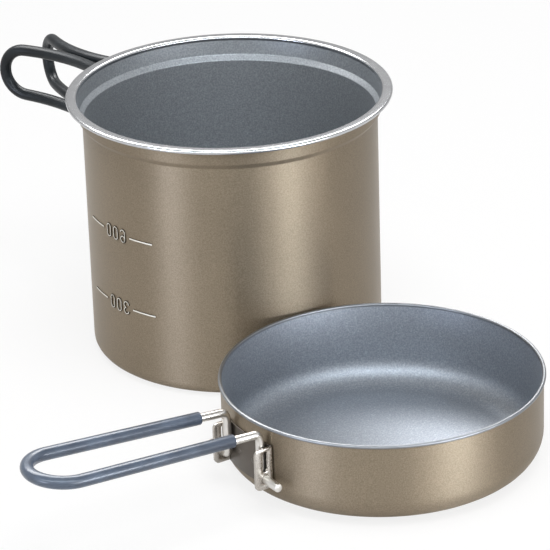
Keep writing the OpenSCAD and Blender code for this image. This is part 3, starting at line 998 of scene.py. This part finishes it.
def wall_strip(name, radius, half_angle, low, high):
    """A strip on a round wall: an upright rectangle, spun about the wall's axis."""
    fresh()
    bpy.ops.mesh.primitive_plane_add(
        size=1, location=(radius + PLATE_T / 2, 0, (low + high) / 2),
        rotation=(math.radians(90), 0, 0))
    bpy.context.object.scale = (PLATE_T, high - low, 1)
    strip = named(name)
    edit(strip, "FACE", "SELECT")
    bpy.ops.mesh.spin(steps=24, angle=2 * half_angle, center=(0, 0, 0), axis=(0, 0, 1))
    bpy.ops.object.mode_set(mode="OBJECT")
    ends = [math.atan2(vertex.co.y, vertex.co.x) for vertex in strip.data.vertices]
    move_to(strip, Matrix.Rotation(-(min(ends) + max(ends)) / 2, 4, "Z"))
    outwards(strip)
    half_width = max(vertex.co.y for vertex in strip.data.vertices)
    print(name, "reaches", round(half_width / MM, 2), "mm aside")
    return strip


def add_welds(bracket, radius, offset, z):
    """Raises two spot welds' domes on the strip's outer face, offset degrees to each side."""
    for angle in (-offset, offset):
        fresh()
        bpy.ops.mesh.primitive_uv_sphere_add(
            segments=24, ring_count=12, radius=1, location=(radius, 0, z),
            scale=(WELD_H, WELD_R, WELD_R))
        dome = named("weld")
        move_to(dome, Matrix.Rotation(math.radians(angle), 4, "Z"))
        boolean(bracket, dome, "UNION")


def paint_bracket(bracket, radius):
    """Paints shade on the plate and its welds, which lie near the wall of this radius."""
    plate_end = radius + PLATE_T + WELD_H
    paint(bracket, [bracket_steel, bracket_plate],
          lambda place, normal: place.xy.length < plate_end)


print("sheet tools ready")

# %% Build the pot's bracket
HOLE_R, TAB_PAD, PLATE_INSET = 1.58 * MM, 3.28 * MM, 0.8 * MM
HINGE_OUT, HINGE_S = 5 * MM, 8.8 * MM   # the hinges' distance from the wall and the middle
EAR_GAP = 0.3 * MM          # from an ear's outer face to the wire's elbow
EAR_ROOT = 2 * MM           # an ear starts this far inside the wall, before it is punched
POT_WELD_ANGLE = 4.5        # degrees
HOLE_SIDES = 40
HINGE_R = POT_R + HINGE_OUT
TAB_Z = elbow_z - EAR_GAP
half_width, outer = HINGE_S + TAB_PAD, HINGE_R + TAB_PAD
handle_z = hinge_point("front_handle_fold").z
half_angle = math.asin((half_width - PLATE_INSET) / POT_R)
pot_bracket = wall_strip("pot_bracket", POT_R, half_angle, -TAB_Z, TAB_Z)
for low, high in ((TAB_Z - TAB_T, TAB_Z), (-TAB_Z, TAB_T - TAB_Z)):
    ear = add_box("ear", (POT_R - EAR_ROOT, -half_width, low), (outer, half_width, high))
    round_corners(ear, outer, 2, TAB_PAD)
    under, over = low - MM, high + MM
    boolean(ear, add_rod(POT_R + PLATE_T / 2, (0, 0, under), (0, 0, over), VESSEL_SIDES))
    for y in (HINGE_S, -HINGE_S):
        boolean(ear, add_rod(HOLE_R, (HINGE_R, y, under), (HINGE_R, y, over), HOLE_SIDES))
    boolean(pot_bracket, ear, "UNION")
break_edges(pot_bracket)
add_welds(pot_bracket, POT_R + PLATE_T, POT_WELD_ANGLE, 0)
paint_bracket(pot_bracket, POT_R)
move_to(pot_bracket, Matrix.Translation((0, 0, handle_z)) @ bracket_turn)
smooth(pot_bracket)
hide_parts("pot_handle_bracket")
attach(pot_bracket, "pot")
closed(pot_bracket)

# %% Build the pan's bracket
BRACKET_H, BRACKET_DROP, INSET = 16.8 * MM, 1.5 * MM, 0.4 * MM
FLANGE_REACH, FLANGE_CORNER, FLANGE_ROOT = 4.2 * MM, 2 * MM, 4 * MM
PAN_HOLE_R, SLOT_W, SLOT_H, SLOT_GAP = 1.68 * MM, 2 * MM, 8 * MM, 1.3 * MM
PAN_WELD_ANGLE, WELD_HEIGHT = 4.2, 0.45         # degrees, and a share of the height
SLOT_SIDES = 32
PUNCH_H = 40 * MM                               # taller than the bracket
bracket_low = PAN_CORNER - BRACKET_DROP
bracket_high = bracket_low + BRACKET_H
flange_in = leg_s + PIN_BEND_R
slot_low = pin_z + PAN_HOLE_R + SLOT_GAP + SLOT_W / 2
slot_high = slot_low + SLOT_H - SLOT_W
half_angle = math.asin((flange_in + TAB_T / 2) / PAN_R)
outer = leg_r + FLANGE_REACH
pan_bracket = wall_strip("pan_bracket", PAN_R, half_angle, bracket_low, bracket_high)
for side in (1, -1):
    near, far = sorted((side * flange_in, side * (flange_in + TAB_T)))
    ear = add_box("ear", (PAN_R - FLANGE_ROOT, near, bracket_low + INSET),
                  (outer, far, bracket_high - INSET))
    round_corners(ear, outer, 1, FLANGE_CORNER)
    boolean(ear, add_rod(PAN_R + PLATE_T / 2, (0, 0, 0), (0, 0, PUNCH_H), VESSEL_SIDES))
    before, past = near - MM, far + MM
    punches = [(PAN_HOLE_R, pin_z, HOLE_SIDES), (SLOT_W / 2, slot_low, SLOT_SIDES),
               (SLOT_W / 2, slot_high, SLOT_SIDES)]
    for radius, z, sides in punches:
        boolean(ear, add_rod(radius, (leg_r, before, z), (leg_r, past, z), sides))
    boolean(ear, add_box("slot", (leg_r - SLOT_W / 2, before, slot_low),
                         (leg_r + SLOT_W / 2, past, slot_high)))
    boolean(pan_bracket, ear, "UNION")
break_edges(pan_bracket)
add_welds(pan_bracket, PAN_R + PLATE_T, PAN_WELD_ANGLE, bracket_low + WELD_HEIGHT * BRACKET_H)
paint_bracket(pan_bracket, PAN_R)
move_to(pan_bracket, pan_frame)
smooth(pan_bracket)
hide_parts("pan_handle_bracket")
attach(pan_bracket, "pan")
closed(pan_bracket)

# %% [markdown]
# ## Stage
# The set stands on a plain white floor. The floor is a pale matt surface, and to the
# camera and, less, to shiny metal a part of it is plain white, which keeps a soft shadow
# but loses the grey of the far floor. From below it is clear, so that the bases show.

# %% Sort the rays that see a surface
def looking_rays(tree):
    """Masks for the rays from the camera, from a glossy surface and through a clear one."""
    kinds = ("Is Camera Ray", "Is Glossy Ray", "Is Transmission Ray")
    return [add_node(tree, "LightPath", output=kind) for kind in kinds]


print("rays sorted")

# %% Lay the floor
WHITE_SHARE = 0.82          # of the floor's colour, to the camera
WHITE_MIRRORED = 0.42       # of that share, to glossy surfaces
FLOOR_SIZE, FLOOR_GAP = 12, 0.2 * MM
floor_low = cad_box[0].z - FLOOR_GAP
fresh()
bpy.ops.mesh.primitive_plane_add(size=FLOOR_SIZE, location=(0, 0, floor_low))
floor = named("floor")
floor_material = bpy.data.materials.new("floor")
floor_material.use_nodes = True
tree = floor_material.node_tree
tree.nodes.clear()
is_camera, is_glossy, is_through = looking_rays(tree)
seen = is_camera.larger(is_glossy * WHITE_MIRRORED).larger(is_through)
matt = add_node(tree, "BsdfDiffuse", {}, {"Color": (0.86, 0.86, 0.86, 1)})
white = add_node(tree, "Emission", {}, {"Color": (1, 1, 1, 1), "Strength": 1.0})
top = add_node(tree, "MixShader", {}, {0: seen * WHITE_SHARE, 1: matt, 2: white})
under = add_node(tree, "NewGeometry", output="Backfacing")
clear = add_node(tree, "BsdfTransparent")
both = add_node(tree, "MixShader", {}, {0: under, 1: top, 2: clear})
output = tree.nodes.new("ShaderNodeOutputMaterial")
tree.links.new(both.socket, output.inputs["Surface"])
floor.data.materials.append(floor_material)
print("floor at", round(floor_low / MM, 2), "mm")

# %% [markdown]
# The sky round the set is an even pale grey for the light that it sheds, and white where
# it is seen. Metal sees it darken overhead and behind the set, as it would in a studio.
# One box overhead sheds the plain light. Metal shows its form only by what it reflects,
# so the other boxes are there to be mirrored: low ones at both sides give the walls their
# upright bands, one above the camera draws the arc in the pan's corner, and one behind
# the set lights the pan's floor.

# %% Make the sky
SKY_SHED = 0.6          # of the sky's brightness, as the light that it sheds
world = bpy.data.worlds.new("studio")
bpy.context.scene.world = world
world.use_nodes = True
tree = world.node_tree
is_camera, is_glossy, is_through = looking_rays(tree)
seen = is_camera.larger(is_glossy).larger(is_through)
direction = {"Vector": add_node(tree, "TexCoord", output="Generated")}


def dimming(axis, start, end, least):
    """Falls from 1 to least as the direction's part along an axis grows from start to end."""
    along = add_node(tree, "SeparateXYZ", {}, direction, output=axis)
    inputs = {"Value": along, "From Min": start, "From Max": end, "To Min": 1.0, "To Max": least}
    return add_node(tree, "MapRange", {"interpolation_type": "SMOOTHSTEP"}, inputs)


mirrored_sky = dimming(2, 0.45, 0.8, 0.25) * dimming(1, 0.1, 0.8, 0.5)     # along Z and Y
strength = (seen * (1 - SKY_SHED) + SKY_SHED) * (1 - is_glossy * (1 - mirrored_sky))
plug(tree, tree.nodes["Background"].inputs["Color"], (1, 1, 1, 1))
plug(tree, tree.nodes["Background"].inputs["Strength"], strength)
print("sky ready")

# %% Light the set
AIM = Vector((0.02, -0.04, 0.05))       # the point that all boxes face


def soft_box(name, azimuth, elevation, distance, width, height, glow, tint=(1, 1, 1),
             mirrored=True):
    """A rectangle of light that faces the set. Azimuth 0 is the camera's side, and
    positive azimuths are to the camera's right. A mirrored box is only seen in metal and
    gloss; one that isn't mirrored only sheds plain light."""
    data = bpy.data.lights.new(name, "AREA")
    data.shape = "RECTANGLE"
    data.size, data.size_y = width, height
    data.energy = glow * math.pi * width * height
    data.color = tint
    box = bpy.data.objects.new(name, data)
    bpy.context.scene.collection.objects.link(box)
    turn, rise = math.radians(azimuth), math.radians(elevation)
    level = Vector((math.sin(turn), -math.cos(turn), 0))
    away = level * math.cos(rise) + Vector((0, 0, math.sin(rise)))
    box.location = AIM + away * distance
    box.rotation_mode = "QUATERNION"
    box.rotation_quaternion = away.to_track_quat("Z", "Y")
    box.visible_camera = False
    box.visible_glossy = mirrored
    box.visible_diffuse = not mirrored
    print(name, "at", [round(value, 2) for value in box.location])


# name, azimuth and elevation in degrees, distance, width and height in metres, glow, tint
soft_box("right_box", 43, -0.5, 0.5, 0.16, 0.07, 20.0, (0.8, 0.9, 1.0))
soft_box("right_fill", 45, 2, 0.9, 0.8, 0.2, 9.0, (0.94, 0.95, 1.0))
soft_box("left_box", -47, 2.5, 2.0, 0.6, 0.24, 26.0, (0.72, 0.8, 1.0))
soft_box("back_box", 196, 52, 1.0, 1.4, 0.4, 13.0)
soft_box("over_box", 0, 40, 1.0, 2.2, 0.18, 9.0, (0.86, 0.94, 1.0))
soft_box("top_box", 20, 75, 1.2, 0.8, 0.8, 5.6, mirrored=False)
